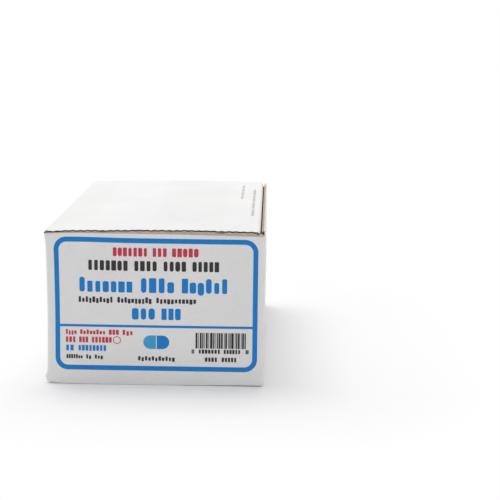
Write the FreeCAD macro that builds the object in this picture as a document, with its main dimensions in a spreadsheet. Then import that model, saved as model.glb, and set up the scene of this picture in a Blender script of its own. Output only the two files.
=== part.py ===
import FreeCAD, Part
import math
import os
import Sketcher

# A medicine carton of thin fluted board, with a hinged tuck lid, holding a stack of blister cards.
# Millimetres. X runs across the printed front, Y from front to back, Z up. The origin is the middle
# of the carton's underside. It is a straight tuck end carton: the lid and the closed bottom both
# fold from the left wall and tuck in behind the right wall.

Vector = FreeCAD.Vector
doc = FreeCAD.newDocument("medicine_box")

# ---------------------------------------------------------------- driving dimensions

dimensions = [
    # blister cards
    ("card_count", 6),
    ("cell_columns", 2),
    ("cell_rows", 4),
    ("cell_width", 38.1),
    ("cell_length", 23.6),
    ("card_header", 3.9),
    ("card_footer", 3.3),
    ("foil", 0.1),
    ("film", 0.3),
    ("contact_gap", 0.05),
    # tablets and the cavities around them
    ("tablet_diameter", 12.7),
    ("tablet_height", 4.0),
    ("tablet_band", 2.6),
    ("tablet_play", 1.5),
    ("cavity_side_room", 2.45),
    ("cavity_travel", 12.2),
    ("cavity_depth_room", 3.0),
    ("cavity_side_slope", 3.6),
    ("cavity_end_slope", 2.55),
    # carton
    ("board", 1.5),
    ("inner_fold_radius", 0.2),
    ("layer_gap", 0.3),
    ("side_room", 4.9),
    ("end_room", 20.7),
    ("head_room", 15.05),
    ("running_gap", 0.3),
    ("edge_setback", 0.3),
    ("seam_width", 12.0),
    ("dust_flap_length", 38.0),
    ("dust_flap_taper", 5.0),
    ("dust_flap_shoulder", 8.0),
    ("dust_flap_gap", 1.0),
    ("tuck_length", 13.5),
    ("tuck_slant", 7.0),
    ("tuck_end_gap", 1.5),
    ("tuck_corner", 7.0),
    # flutes of the board, which show at the cut edges of the lid and the bottom
    ("flute_pitch", 3.0),
    ("flute_width", 2.4),
    ("liner", 0.22),
    ("medium", 0.2),
    # print on the front wall
    ("ink", 0.06),
    ("label_left_margin", 3.45),
    ("label_right_margin", 2.9),
    ("label_top_margin", 1.4),
    ("label_bottom_margin", 6.35),
    ("label_line", 2.0),
    ("label_corner", 5.3),
    ("rule_height", 18.1),
    ("rule_line", 1.0),
    # print on the lid
    ("lid_print_margin", 1.6),
    ("lid_print_pitch", 5.6),
    ("lid_print_line", 1.2),
]

sheet = doc.addObject("Spreadsheet::Sheet", "sizes")
for row, (alias, number) in enumerate(dimensions, start=1):
    sheet.set(f"A{row}", alias)
    sheet.set(f"B{row}", str(number))
    sheet.setAlias(f"B{row}", alias)
doc.recompute()


class Size:
    """A length together with the spreadsheet formula that gives it."""

    def __init__(self, number, formula):
        self.number = float(number)
        self.formula = formula

    def __add__(self, other):
        other = as_size(other)
        return Size(self.number + other.number, f"({self.formula} + {other.formula})")

    def __sub__(self, other):
        other = as_size(other)
        return Size(self.number - other.number, f"({self.formula} - {other.formula})")

    def __rsub__(self, other):
        return as_size(other) - self

    def __mul__(self, other):
        other = as_size(other)
        return Size(self.number * other.number, f"({self.formula} * {other.formula})")

    def __truediv__(self, other):
        other = as_size(other)
        return Size(self.number / other.number, f"({self.formula} / {other.formula})")

    def __neg__(self):
        return 0 - self

    __radd__ = __add__
    __rmul__ = __mul__


def as_size(value):
    return value if isinstance(value, Size) else Size(value, repr(float(value)))


def size(alias):
    return Size(getattr(sheet, alias), f"sizes.{alias}")


def cosine(degrees):
    degrees = as_size(degrees)
    return Size(math.cos(math.radians(degrees.number)), f"cos({degrees.formula} * 1deg)")


def sine(degrees):
    degrees = as_size(degrees)
    return Size(math.sin(math.radians(degrees.number)), f"sin({degrees.formula} * 1deg)")


# ---------------------------------------------------------------- sizes that follow from others

board = size("board")
card_count = int(sheet.card_count)
columns = int(sheet.cell_columns)
rows = int(sheet.cell_rows)
cell_width = size("cell_width")
cell_length = size("cell_length")
card_width = size("cell_columns") * cell_width
card_length = size("cell_rows") * cell_length + size("card_header") + size("card_footer")
cavity_depth = size("tablet_height") + size("cavity_depth_room")
card_pitch = size("foil") + cavity_depth + size("contact_gap")

carton_width = card_width + 2 * size("side_room") + 2 * board
carton_depth = card_length + 2 * size("end_room") + 2 * board
stack_floor = 2 * board + size("layer_gap") + size("contact_gap")
carton_height = (
    stack_floor + size("card_count") * card_pitch + size("head_room") + 2 * board + size("layer_gap")
)

# The carton and lid are drawn about the carton's centre, so that mirrored flaps use its own planes.
half_width = carton_width / 2
half_depth = carton_depth / 2
half_height = carton_height / 2
inner_radius = size("inner_fold_radius")
outer_radius = inner_radius + board
dust_level = half_height - board - size("layer_gap")
fold_start = dust_level - outer_radius
panel_depth = carton_depth - 2 * size("edge_setback")
tuck_depth = carton_depth - 2 * board - 2 * size("tuck_end_gap")
tuck_centre_x = half_width - board - size("running_gap") - outer_radius
tuck_centre_z = half_height - outer_radius
tuck_lean = size("tuck_length") * sine(size("tuck_slant"))
dust_right = half_width - 2 * board - size("running_gap") - tuck_lean - size("dust_flap_gap")
dust_left = -half_width + board + size("dust_flap_gap")

# ---------------------------------------------------------------- drawing helpers


def bind(thing, prop, value):
    """Sets a property to a number or a Size, bound to the sheet where it is a Size."""
    value = as_size(value)
    if "sizes." in value.formula:
        thing.setExpression(prop, value.formula)
    else:
        setattr(thing, prop, value.number)


def make_body(name, height=None):
    """A body whose drawing plane lies at the given height above the floor."""
    body = doc.addObject("PartDesign::Body", name)
    body.Label = name
    if height is not None:
        body.setExpression(".Placement.Base.z", height.formula)
    return body


def add_sketch(body, name, role, offset=0.0):
    """A sketch on one of the body's own origin planes, moved along the plane's normal by offset."""
    sketch = body.newObject("Sketcher::SketchObject", name)
    plane = [part for part in body.Origin.OriginFeatures if part.Role == role][0]
    sketch.AttachmentSupport = [(plane, "")]
    sketch.MapMode = "FlatFace"
    offset = as_size(offset)
    if offset.number:
        sketch.setExpression(".AttachmentOffset.Base.z", offset.formula)
    return sketch


def pin_point(sketch, edge, end, x, y):
    """Holds one end (or the centre, end 3) of a sketch edge at x and y; either may be None."""
    for kind, value in (("DistanceX", x), ("DistanceY", y)):
        if value is not None:
            value = as_size(value)
            index = sketch.addConstraint(Sketcher.Constraint(kind, -1, 1, edge, end, value.number))
            sketch.setExpression(f"Constraints[{index}]", value.formula)


def draw_loop(sketch, points, centres=None):
    """A closed outline. centres maps an edge's number to the centre of its arc of under 180 degrees."""
    centres = centres or {}
    points = [(as_size(x), as_size(y)) for x, y in points]
    first = sketch.GeometryCount
    ends = []
    for number, start in enumerate(points):
        stop = points[(number + 1) % len(points)]
        a = Vector(start[0].number, start[1].number, 0)
        b = Vector(stop[0].number, stop[1].number, 0)
        if number not in centres:
            sketch.addGeometry(Part.LineSegment(a, b))
            ends.append((1, 2))
            continue
        x, y = [as_size(value) for value in centres[number]]
        centre = Vector(x.number, y.number, 0)
        anticlockwise = (a - centre).cross(b - centre).z > 0
        low, high = (a, b) if anticlockwise else (b, a)
        angles = [math.atan2(p.y - centre.y, p.x - centre.x) for p in (low, high)]
        circle = Part.Circle(centre, Vector(0, 0, 1), (a - centre).Length)
        sketch.addGeometry(Part.ArcOfCircle(circle, angles[0], angles[1]))
        ends.append((1, 2) if anticlockwise else (2, 1))
        if abs(b.y - a.y) > abs(b.x - a.x) / 2:
            pin_point(sketch, first + number, 3, x, None)
        else:
            pin_point(sketch, first + number, 3, None, y)
    for number, start in enumerate(points):
        following = (number + 1) % len(points)
        link = (first + number, ends[number][1], first + following, ends[following][0])
        sketch.addConstraint(Sketcher.Constraint("Coincident", *link))
        pin_point(sketch, first + number, ends[number][0], *start)


def draw_rectangle(sketch, left, right, low, high):
    draw_loop(sketch, [(left, low), (right, low), (right, high), (left, high)])


def draw_rounded_rectangle(sketch, left, right, low, high, radius):
    points = [
        (left + radius, low),
        (right - radius, low),
        (right, low + radius),
        (right, high - radius),
        (right - radius, high),
        (left + radius, high),
        (left, high - radius),
        (left, low + radius),
    ]
    centres = {
        1: (right - radius, low + radius),
        3: (right - radius, high - radius),
        5: (left + radius, high - radius),
        7: (left + radius, low + radius),
    }
    draw_loop(sketch, points, centres)


def draw_stadium(sketch, breadth, length):
    """A slot shape along X, centred, with half-circle ends, each drawn as two quarter arcs."""
    radius = breadth / 2
    straight = length / 2 - radius
    points = [
        (-straight, -radius),
        (straight, -radius),
        (straight + radius, as_size(0)),
        (straight, radius),
        (-straight, radius),
        (-straight - radius, as_size(0)),
    ]
    right = (straight, as_size(0))
    left = (-straight, as_size(0))
    draw_loop(sketch, points, {1: right, 2: right, 4: left, 5: left})


def pad(body, name, sketch, length, symmetric=True):
    feature = body.newObject("PartDesign::Pad", name)
    feature.Profile = sketch
    feature.SideType = "Symmetric" if symmetric else "One side"
    bind(feature, "Length", length)
    return feature


def pocket_through(body, name, sketch, length):
    feature = body.newObject("PartDesign::Pocket", name)
    feature.Profile = sketch
    feature.SideType = "Symmetric"
    bind(feature, "Length", length)
    return feature


def on_circle(centre, radius, degrees):
    return (centre[0] + radius * cosine(degrees), centre[1] + radius * sine(degrees))


# ---------------------------------------------------------------- carton and lid


def add_walls(body):
    """The four walls as one bent strip, closed by a glued seam inside the left wall's back end."""
    sketch = add_sketch(body, "wall_ring", "XY_Plane")
    left = -half_width
    right = half_width
    front = -half_depth
    back = half_depth
    seam_x = left + board
    outer_points = [
        (left, back - outer_radius),
        (left, front + outer_radius),
        (left + outer_radius, front),
        (right - outer_radius, front),
        (right, front + outer_radius),
        (right, back - outer_radius),
        (right - outer_radius, back),
        (seam_x + outer_radius, back),
        (seam_x, back - outer_radius),
    ]
    outer_centres = {
        1: (left + outer_radius, front + outer_radius),
        3: (right - outer_radius, front + outer_radius),
        5: (right - outer_radius, back - outer_radius),
        7: (seam_x + outer_radius, back - outer_radius),
    }
    draw_loop(sketch, outer_points, outer_centres)
    seam_end = back - outer_radius - size("seam_width")
    inner_points = [
        (seam_x, front + outer_radius),
        (left + outer_radius, front + board),
        (right - outer_radius, front + board),
        (right - board, front + outer_radius),
        (right - board, back - outer_radius),
        (right - outer_radius, back - board),
        (seam_x + outer_radius, back - board),
        (seam_x + board, back - outer_radius),
        (seam_x + board, seam_end),
        (seam_x, seam_end),
    ]
    inner_centres = {
        0: (left + outer_radius, front + outer_radius),
        2: (right - outer_radius, front + outer_radius),
        4: (right - outer_radius, back - outer_radius),
        6: (seam_x + outer_radius, back - outer_radius),
    }
    draw_loop(sketch, inner_points, inner_centres)
    pad(body, "walls", sketch, 2 * fold_start)
    tuck_side = add_sketch(body, "tuck_side_wall_outline", "XY_Plane")
    side_front = front + outer_radius
    side_back = back - outer_radius
    draw_rectangle(tuck_side, right - board, right, side_front, side_back)
    pad(body, "tuck_side_wall", tuck_side, 2 * (half_height - size("edge_setback")))
    hinge_side = add_sketch(body, "hinge_side_wall_outline", "XY_Plane")
    draw_rectangle(hinge_side, left, seam_x, side_front, side_back)
    pad(body, "hinge_side_wall", hinge_side, 2 * tuck_centre_z)


def add_dust_flaps(body):
    """The four inner flaps, folded level from the front and back walls at both ends."""
    fold = add_sketch(body, "dust_fold_section", "YZ_Plane")
    centre = (-half_depth + outer_radius, fold_start)
    points = [
        (-half_depth, fold_start),
        (centre[0], dust_level),
        (centre[0], dust_level - board),
        (-half_depth + board, fold_start),
    ]
    draw_loop(fold, points, {0: centre, 2: centre})
    fold_pad = pad(body, "dust_fold", fold, carton_width - 2 * size("edge_setback"))
    plate = add_sketch(body, "dust_flap_outline", "XY_Plane", dust_level - board)
    root = centre[0]
    tip = -half_depth + size("dust_flap_length")
    shoulder = tip - size("dust_flap_shoulder")
    points = [
        (dust_left, root),
        (dust_right, root),
        (dust_right, shoulder),
        (dust_right - size("dust_flap_taper"), tip),
        (dust_left + size("dust_flap_taper"), tip),
        (dust_left, shoulder),
    ]
    draw_loop(plate, points)
    plate_pad = pad(body, "dust_flap", plate, board, symmetric=False)
    mirrored = body.newObject("PartDesign::MultiTransform", "dust_flaps")
    mirrored.Originals = [fold_pad, plate_pad]
    steps = []
    for name, role in (("to_back", "XZ_Plane"), ("to_bottom", "XY_Plane")):
        step = body.newObject("PartDesign::Mirrored", name)
        plane = [part for part in body.Origin.OriginFeatures if part.Role == role][0]
        step.MirrorPlane = (plane, [""])
        steps.append(step)
    mirrored.Transformations = steps
    body.Tip = mirrored


def add_closure(body, side, fold_from):
    """A closing panel with its tuck flap. side is 1 at the top and -1 at the bottom.

    fold_from is where the panel's own share of the fold at the left wall starts, in degrees
    round from the right: 180 for the whole fold, 135 for the upper half of it.
    """
    hinge = (-half_width + outer_radius, tuck_centre_z)
    bend = (tuck_centre_x, tuck_centre_z)
    slant = size("tuck_slant")

    def level(point):
        return (point[0], side * point[1])

    panel = add_sketch(body, "panel_section", "XZ_Plane")
    points = [
        on_circle(hinge, outer_radius, fold_from),
        (hinge[0], half_height),
        (bend[0], half_height),
        (bend[0], half_height - board),
        (hinge[0], half_height - board),
        on_circle(hinge, inner_radius, fold_from),
    ]
    draw_loop(panel, [level(point) for point in points], {0: level(hinge), 4: level(hinge)})
    pad(body, "panel", panel, panel_depth)

    tuck = add_sketch(body, "tuck_section", "XZ_Plane")
    outer_bend = on_circle(bend, outer_radius, -slant)
    inner_bend = on_circle(bend, inner_radius, -slant)
    fall = size("tuck_length") - outer_radius
    drop = (-fall * sine(slant), -fall * cosine(slant))
    points = [
        (bend[0], half_height),
        outer_bend,
        (outer_bend[0] + drop[0], outer_bend[1] + drop[1]),
        (inner_bend[0] + drop[0], inner_bend[1] + drop[1]),
        inner_bend,
        (bend[0], half_height - board),
    ]
    draw_loop(tuck, [level(point) for point in points], {0: level(bend), 4: level(bend)})
    tuck_pad = pad(body, "tuck", tuck, tuck_depth)
    doc.recompute()
    tip_level = side * points[3][1].number
    corner_reach = tuck_depth.number / 2

    def is_tip_corner(edge):
        start, stop = [vertex.Point for vertex in edge.Vertexes]
        across = abs(start.y - stop.y) < 0.01 and abs(abs(start.y) - corner_reach) < 0.01
        return across and max(abs(start.z - tip_level), abs(stop.z - tip_level)) < board.number / 2

    corners = [f"Edge{n}" for n, edge in enumerate(tuck_pad.Shape.Edges, 1) if is_tip_corner(edge)]
    chamfer = body.newObject("PartDesign::Chamfer", "tuck_corners")
    chamfer.Base = (tuck_pad, corners)
    bind(chamfer, "Size", size("tuck_corner"))
    add_flutes(body, side, hinge[0], bend[0])


def add_flutes(body, side, left, right):
    """The open channels above and below the wavy medium, seen end-on at the panel's cut edges."""
    sketch = add_sketch(body, "flute_section", "XZ_Plane")
    pitch = size("flute_pitch")
    middle = left + pitch / 2
    depth = board - 2 * size("liner") - size("medium")
    reach = size("flute_width") / 2
    top = half_height - size("liner")
    low = half_height - board + size("liner")
    upper = [(middle - reach, top), (middle, top - depth), (middle + reach, top)]
    shifted = middle + pitch / 2
    lower = [(shifted - reach, low), (shifted + reach, low), (shifted, low + depth)]
    for triangle in (upper, lower):
        draw_loop(sketch, [(x, side * z) for x, z in triangle])
    channels = pocket_through(body, "flute_channels", sketch, carton_depth)
    doc.recompute()
    pattern = body.newObject("PartDesign::LinearPattern", "flutes")
    pattern.Originals = [channels]
    pattern.Direction = (sketch, ["H_Axis"])
    pattern.Mode = "Spacing"
    bind(pattern, "Offset", pitch)
    count = (right - left) / pitch
    pattern.setExpression("Occurrences", f"floor({count.formula} - 0.5)")
    body.Tip = pattern


def make_carton():
    carton = make_body("carton", half_height)
    add_walls(carton)
    add_dust_flaps(carton)
    hinge = (-half_width + outer_radius, tuck_centre_z)
    lip = add_sketch(carton, "hinge_lip_section", "XZ_Plane")
    points = [
        on_circle(hinge, outer_radius, 180),
        on_circle(hinge, outer_radius, 135),
        on_circle(hinge, inner_radius, 135),
        on_circle(hinge, inner_radius, 180),
    ]
    draw_loop(lip, points, {0: hinge, 2: hinge})
    pad(carton, "hinge_lip", lip, panel_depth)
    add_closure(carton, -1, 180)
    return carton


def make_lid():
    lid = make_body("lid", half_height)
    add_closure(lid, 1, 135)
    return lid


# ---------------------------------------------------------------- print


def make_block(name, left, right, low, high):
    """A field of ink on the front wall, between two sides and two heights above the floor."""
    block = doc.addObject("Part::Box", name)
    bind(block, "Length", right - left)
    bind(block, "Width", size("ink"))
    bind(block, "Height", high - low)
    block.setExpression(".Placement.Base.x", left.formula)
    block.setExpression(".Placement.Base.y", (-half_depth - size("ink")).formula)
    block.setExpression(".Placement.Base.z", low.formula)
    return block


def gather(name, pieces):
    """One node of several separate solids."""
    group = doc.addObject("Part::Compound", name)
    group.Label = name
    group.Links = pieces
    return group


def label_edges():
    """The label frame's outer left, right, low and high edges on the front wall."""
    left = -half_width + size("label_left_margin")
    right = half_width - size("label_right_margin")
    high = carton_height - board - size("layer_gap") - size("label_top_margin")
    return left, right, size("label_bottom_margin"), high


def make_label_frame():
    frame = make_body("label_frame")
    sketch = add_sketch(frame, "frame_outline", "XZ_Plane", half_depth)
    left, right, low, high = label_edges()
    line = size("label_line")
    radius = size("label_corner")
    draw_rounded_rectangle(sketch, left, right, low, high, radius)
    inner = (left + line, right - line, low + line, high - line, radius - line)
    draw_rounded_rectangle(sketch, *inner)
    pad(frame, "frame_line", sketch, size("ink"), symmetric=False)
    return frame


# Lines of print as fields of colour, above and below the rule: ink, name, words as (start, end)
# shares of the label's inner width from its left side, and the middle and height of the line as
# shares of the height between the rule and the frame.
upper_lines = [
    ("red", "heading", [(0.277, 0.460), (0.480, 0.560), (0.580, 0.722)], 0.891, 0.105),
    ("black", "product_line", [(0.148, 0.36), (0.385, 0.51), (0.535, 0.66), (0.685, 0.828)], 0.724, 0.122),
    ("blue", "title", [(0.100, 0.385), (0.415, 0.600), (0.630, 0.875)], 0.489, 0.180),
    ("black", "subtitle", [(0.099, 0.280), (0.300, 0.480), (0.500, 0.710)], 0.308, 0.070),
    ("blue", "strength", [(0.373, 0.500), (0.525, 0.632)], 0.139, 0.140),
]
lower_lines = [
    ("red", "note", [(0.029, 0.090), (0.105, 0.240), (0.255, 0.310), (0.325, 0.383)], 0.867, 0.130),
    ("red", "caution", [(0.028, 0.085), (0.100, 0.150), (0.165, 0.273)], 0.666, 0.150),
    ("blue", "contents", [(0.028, 0.075), (0.095, 0.244)], 0.449, 0.150),
    ("black", "origin_line", [(0.032, 0.120), (0.135, 0.165), (0.180, 0.226)], 0.225, 0.106),
    ("black", "sign_line", [(0.405, 0.600)], 0.200, 0.120),
    ("black", "code_digits", [(0.685, 0.700), (0.720, 0.835), (0.850, 0.940), (0.965, 0.982)], 0.400, 0.110),
    ("black", "batch", [(0.753, 0.820), (0.840, 0.920)], 0.191, 0.120),
]
stripe_widths = [2, 1, 3, 1, 1, 2, 1, 3, 2, 1, 1, 2, 3, 1, 2, 1, 1, 3, 1, 2, 2, 1, 3, 1]

# The bar code and the sign: start, end, low and high as shares of the lower field.
bar_code = (0.706, 0.966, 0.480, 0.886)
sign_edges = (0.435, 0.570, 0.450, 0.800)


def make_sign(left, right, low, high):
    """A capsule shape that stands in for the maker's sign."""
    sign = make_body("sign", (low + high) / 2)
    sign.setExpression(".Placement.Base.x", ((left + right) / 2).formula)
    sketch = add_sketch(sign, "sign_outline", "XZ_Plane", half_depth)
    draw_stadium(sketch, high - low, right - left)
    pad(sign, "sign_field", sketch, size("ink"), symmetric=False)
    return sign


def make_print():
    """The label: a rounded frame, a rule across it, lines of print, a bar code and a capsule sign."""
    line = size("label_line")
    left, right, low, high = label_edges()
    width = right - left - 2 * line
    rule = low + size("rule_height")
    rule_top = rule + size("rule_line")
    inks = {"blue": [make_label_frame()], "red": [], "black": []}
    inks["blue"].append(make_block("rule", left + line, right - line, rule, rule_top))

    def place(field, start, stop, bottom, top):
        """Left, right, low and high of a piece of print, from shares of its field."""
        field_low, field_high = field
        tall = field_high - field_low
        sides = (left + line + start * width, left + line + stop * width)
        return (*sides, field_low + bottom * tall, field_low + top * tall)

    upper_field = (rule_top, high - line)
    lower_field = (low + line, rule)
    for field, lines in ((upper_field, upper_lines), (lower_field, lower_lines)):
        for ink, name, words, middle, tall in lines:
            for number, (start, stop) in enumerate(words, 1):
                edges = (start, stop, middle - tall / 2, middle + tall / 2)
                inks[ink].append(make_block(f"{name}_{number}", *place(field, *edges)))

    code_start, code_stop, code_low, code_high = bar_code
    modules = 2 * sum(stripe_widths) - stripe_widths[-1]
    module = (code_stop - code_start) / modules
    passed = 0
    for number, stripe in enumerate(stripe_widths, 1):
        start = code_start + passed * module
        edges = (start, start + stripe * module, code_low, code_high)
        inks["black"].append(make_block(f"stripe_{number}", *place(lower_field, *edges)))
        passed += 2 * stripe

    inks["blue"].append(make_sign(*place(lower_field, *sign_edges)))
    for ink, pieces in inks.items():
        gather(f"print_{ink}", pieces)


# The lid's two lines: start and end as shares of the panel's depth.
lid_lines = [(0.257, 0.814), (0.586, 0.906)]


def make_lid_print():
    """Two small lines of print that run from front to back along the lid's right edge."""
    pieces = []
    for number, (start, stop) in enumerate(lid_lines):
        block = doc.addObject("Part::Box", f"lid_line_{number + 1}")
        right = tuck_centre_x - size("lid_print_margin") - number * size("lid_print_pitch")
        bind(block, "Length", size("lid_print_line"))
        bind(block, "Width", (stop - start) * panel_depth)
        bind(block, "Height", size("ink"))
        block.setExpression(".Placement.Base.x", (right - size("lid_print_line")).formula)
        block.setExpression(".Placement.Base.y", ((start - 0.5) * panel_depth).formula)
        block.setExpression(".Placement.Base.z", carton_height.formula)
        pieces.append(block)
    gather("print_lid", pieces)


# ---------------------------------------------------------------- blister cards


def make_cell():
    """One cell of a card's film: a flat flange with a tapered long cavity pressed up from it."""
    cell = make_body("cell")
    foil = size("foil")
    film = size("film")
    base_breadth = size("tablet_diameter") + 2 * size("cavity_side_room")
    base_length = base_breadth + size("cavity_travel")
    flange = add_sketch(cell, "flange_outline", "XY_Plane", foil)
    draw_rectangle(flange, -cell_width / 2, cell_width / 2, -cell_length / 2, cell_length / 2)
    pad(cell, "flange", flange, film, symmetric=False)
    for kind, name, inset, top in (
        ("PartDesign::AdditiveLoft", "bubble", as_size(0), foil + cavity_depth),
        ("PartDesign::SubtractiveLoft", "hollow", film, foil + cavity_depth - film),
    ):
        base = add_sketch(cell, f"{name}_base", "XY_Plane", foil)
        draw_stadium(base, base_breadth - 2 * inset, base_length - 2 * inset)
        crown = add_sketch(cell, f"{name}_crown", "XY_Plane", top)
        breadth = base_breadth - 2 * size("cavity_side_slope") - 2 * inset
        length = base_length - 2 * size("cavity_end_slope") - 2 * inset
        draw_stadium(crown, breadth, length)
        loft = cell.newObject(kind, name)
        loft.Profile = base
        loft.Sections = [crown]
        loft.Ruled = True
    return cell


def card_row_y(row):
    """The middle of a row of cells, counted from the card's front edge."""
    return -card_length / 2 + size("card_footer") + (row + 0.5) * cell_length


def column_x(column):
    return -card_width / 2 + (column + 0.5) * cell_width


def card_level(number):
    """The underside of a card's foil, counted from the bottom of the stack."""
    return stack_floor + number * card_pitch


def make_strip(name, y, length):
    """A plain strip of film across the card, beyond its end cells."""
    strip = doc.addObject("Part::Box", name)
    bind(strip, "Length", card_width)
    bind(strip, "Width", length)
    bind(strip, "Height", size("film"))
    strip.setExpression(".Placement.Base.x", (-card_width / 2).formula)
    strip.setExpression(".Placement.Base.y", y.formula)
    strip.setExpression(".Placement.Base.z", size("foil").formula)
    return strip


def make_film():
    """The whole formed film of a card: its cells and the plain strips at both ends, as one sheet."""
    cell = make_cell()
    cells = []
    for row in range(rows):
        for column in range(columns):
            placed = doc.addObject("Part::Compound", f"cell_{row + 1}_{column + 1}")
            placed.Links = [cell]
            placed.setExpression(".Placement.Base.x", column_x(column).formula)
            placed.setExpression(".Placement.Base.y", card_row_y(row).formula)
            cells.append(placed)
    footer = make_strip("footer_strip", -card_length / 2, size("card_footer"))
    header = make_strip("header_strip", card_length / 2 - size("card_header"), size("card_header"))
    sheet_of_film = doc.addObject("Part::MultiFuse", "film_sheet")
    sheet_of_film.Shapes = cells + [footer, header]
    sheet_of_film.Refine = True
    return sheet_of_film


def make_tablet():
    """A round tablet with a straight band and two domed faces, standing on the foil's top."""
    tablet = make_body("tablet")
    section = add_sketch(tablet, "tablet_section", "XZ_Plane")
    radius = size("tablet_diameter") / 2
    height = size("tablet_height")
    dome = (height - size("tablet_band")) / 2
    dome_radius = (radius * radius + dome * dome) / (2 * dome)
    lift = size("foil") + size("contact_gap")
    low_centre = (as_size(0), lift + dome_radius)
    high_centre = (as_size(0), lift + height - dome_radius)
    points = [
        (as_size(0), lift),
        (radius, lift + dome),
        (radius, lift + height - dome),
        (as_size(0), lift + height),
    ]
    draw_loop(section, points, {0: low_centre, 2: high_centre})
    turned = tablet.newObject("PartDesign::Revolution", "turned")
    turned.Profile = section
    turned.ReferenceAxis = (section, ["V_Axis"])
    turned.Angle = 360
    return tablet


def tablet_shift(number):
    """How far a tablet lies from the middle of its cavity: near its right end, each a little different."""
    wander = 0.5 + 0.5 * math.sin(2.4 * number)
    return size("cavity_travel") / 2 - wander * size("tablet_play")


def make_cards():
    film_sheet = make_film()
    tablet = make_tablet()
    for card in range(card_count):
        level = card_level(card).formula
        foil = doc.addObject("Part::Box", f"foil_{card + 1}")
        foil.Label = f"foil_{card + 1}"
        bind(foil, "Length", card_width)
        bind(foil, "Width", card_length)
        bind(foil, "Height", size("foil"))
        foil.setExpression(".Placement.Base.x", (-card_width / 2).formula)
        foil.setExpression(".Placement.Base.y", (-card_length / 2).formula)
        foil.setExpression(".Placement.Base.z", level)
        film = gather(f"film_{card + 1}", [film_sheet])
        film.setExpression(".Placement.Base.z", level)
        placed = []
        for row in range(rows):
            for column in range(columns):
                number = (card * rows + row) * columns + column
                piece = doc.addObject("Part::Compound", f"tablet_{number + 1}")
                piece.Links = [tablet]
                x = column_x(column) + tablet_shift(number)
                piece.setExpression(".Placement.Base.x", x.formula)
                piece.setExpression(".Placement.Base.y", card_row_y(row).formula)
                placed.append(piece)
        tablets = gather(f"tablets_{card + 1}", placed)
        tablets.setExpression(".Placement.Base.z", level)


# ---------------------------------------------------------------- build, check and write

make_carton()
make_lid()
make_print()
make_lid_print()
make_cards()
doc.recompute()

card_nodes = [f"{kind}_{n + 1}" for n in range(card_count) for kind in ("film", "foil", "tablets")]
nodes = ["carton", "lid", "print_blue", "print_red", "print_black", "print_lid"] + card_nodes

for thing in doc.Objects:
    if "Invalid" in thing.State or "Error" in thing.State:
        raise RuntimeError(f"{thing.Name} did not build: {thing.State}")

os.makedirs("parts", exist_ok=True)
for name in nodes:
    shape = doc.getObjectsByLabel(name)[0].Shape
    if shape.isNull() or not shape.isValid() or not shape.Solids:
        raise RuntimeError(f"{name} has no valid solid")
    shape.exportStep(f"parts/{name}.step")
    box = shape.BoundBox
    print(f"{name}: {len(shape.Solids)} solids, {shape.Volume:.1f} mm3, "
          f"x {box.XMin:.2f} {box.XMax:.2f}, y {box.YMin:.2f} {box.YMax:.2f}, z {box.ZMin:.2f} {box.ZMax:.2f}")
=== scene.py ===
import math

import bpy
import numpy as np
from mathutils import Matrix, Vector


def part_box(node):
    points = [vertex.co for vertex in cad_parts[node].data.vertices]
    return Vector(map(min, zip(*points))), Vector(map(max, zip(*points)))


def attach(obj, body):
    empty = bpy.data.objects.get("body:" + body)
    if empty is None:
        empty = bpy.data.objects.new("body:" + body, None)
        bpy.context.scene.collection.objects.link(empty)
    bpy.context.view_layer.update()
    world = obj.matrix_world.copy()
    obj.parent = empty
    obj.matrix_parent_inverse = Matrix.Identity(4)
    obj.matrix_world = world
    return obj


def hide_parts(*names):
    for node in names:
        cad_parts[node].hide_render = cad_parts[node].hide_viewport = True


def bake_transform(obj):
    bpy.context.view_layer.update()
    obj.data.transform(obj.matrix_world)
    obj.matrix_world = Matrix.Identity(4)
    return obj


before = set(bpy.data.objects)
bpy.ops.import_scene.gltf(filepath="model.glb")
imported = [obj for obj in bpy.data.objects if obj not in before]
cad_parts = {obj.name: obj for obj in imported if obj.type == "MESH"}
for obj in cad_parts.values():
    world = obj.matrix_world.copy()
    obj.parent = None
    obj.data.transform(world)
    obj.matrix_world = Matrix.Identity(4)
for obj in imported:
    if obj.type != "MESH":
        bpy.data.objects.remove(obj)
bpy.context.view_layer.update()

# Medicine carton of fluted board with a hinged tuck lid and six blister cards inside.
# All sizes below are in millimetres and become metres when a mesh is made.
metre = 0.001
sharpAngle = math.radians(35)  # faces that meet at more than this show an edge


def boxOf(name):
    # The two corners of a solid's box in the frame, in millimetres.
    return [np.array(corner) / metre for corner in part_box(name)]


labelLow, labelHigh = boxOf("print_blue")
lidPrintLow, lidPrintHigh = boxOf("print_lid")
halfWidth, halfDepth, rightWallTop = (float(value) for value in boxOf("carton")[1])
boxHeight = float(boxOf("lid")[1][2])

board = {
    "thickness": 1.5,
    "liner": 0.22,
    "foldSlack": 0.1,  # by how much the medium clears each liner where it fills a fold
    "medium": 0.2,
    "pitch": 3.0,  # flute to flute
    "gap": 0.3,  # air between the layers of closed flaps
    "cornerRadius": 1.2,  # of the upright folds
    "rimRadius": (0.45, 0.75),  # of the lower and upper folds of the front and back walls
    "innerRadius": 0.25,
    "creaseRadius": 0.3,  # of folds pressed sharp
    "hingeRadius": 1.7,
    "foldReach": 0.8,  # how far from a fold the flutes are pressed flat
}


def gridQuads(rows, columns, closed=False):
    # Four-sided faces between neighbours of a grid whose points are numbered row by row.
    row, column = np.meshgrid(
        np.arange(rows if closed else rows - 1), np.arange(columns - 1), indexing="ij"
    )
    first = row * columns + column
    second = ((row + 1) % rows) * columns + column
    return np.stack([first, second, second + 1, first + 1], -1).reshape(-1, 4)


def outward(points, faces):
    # A closed shell's faces, turned round when its volume, the sum of each corner's dot
    # product with the cross product of the next two, comes out negative.
    a, b, c, d = (points[faces[:, k]] for k in range(4))
    volume = (a * np.cross(b, c)).sum() + (a * np.cross(c, d)).sum()
    return points, faces[:, ::-1] if volume < 0 else faces


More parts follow.
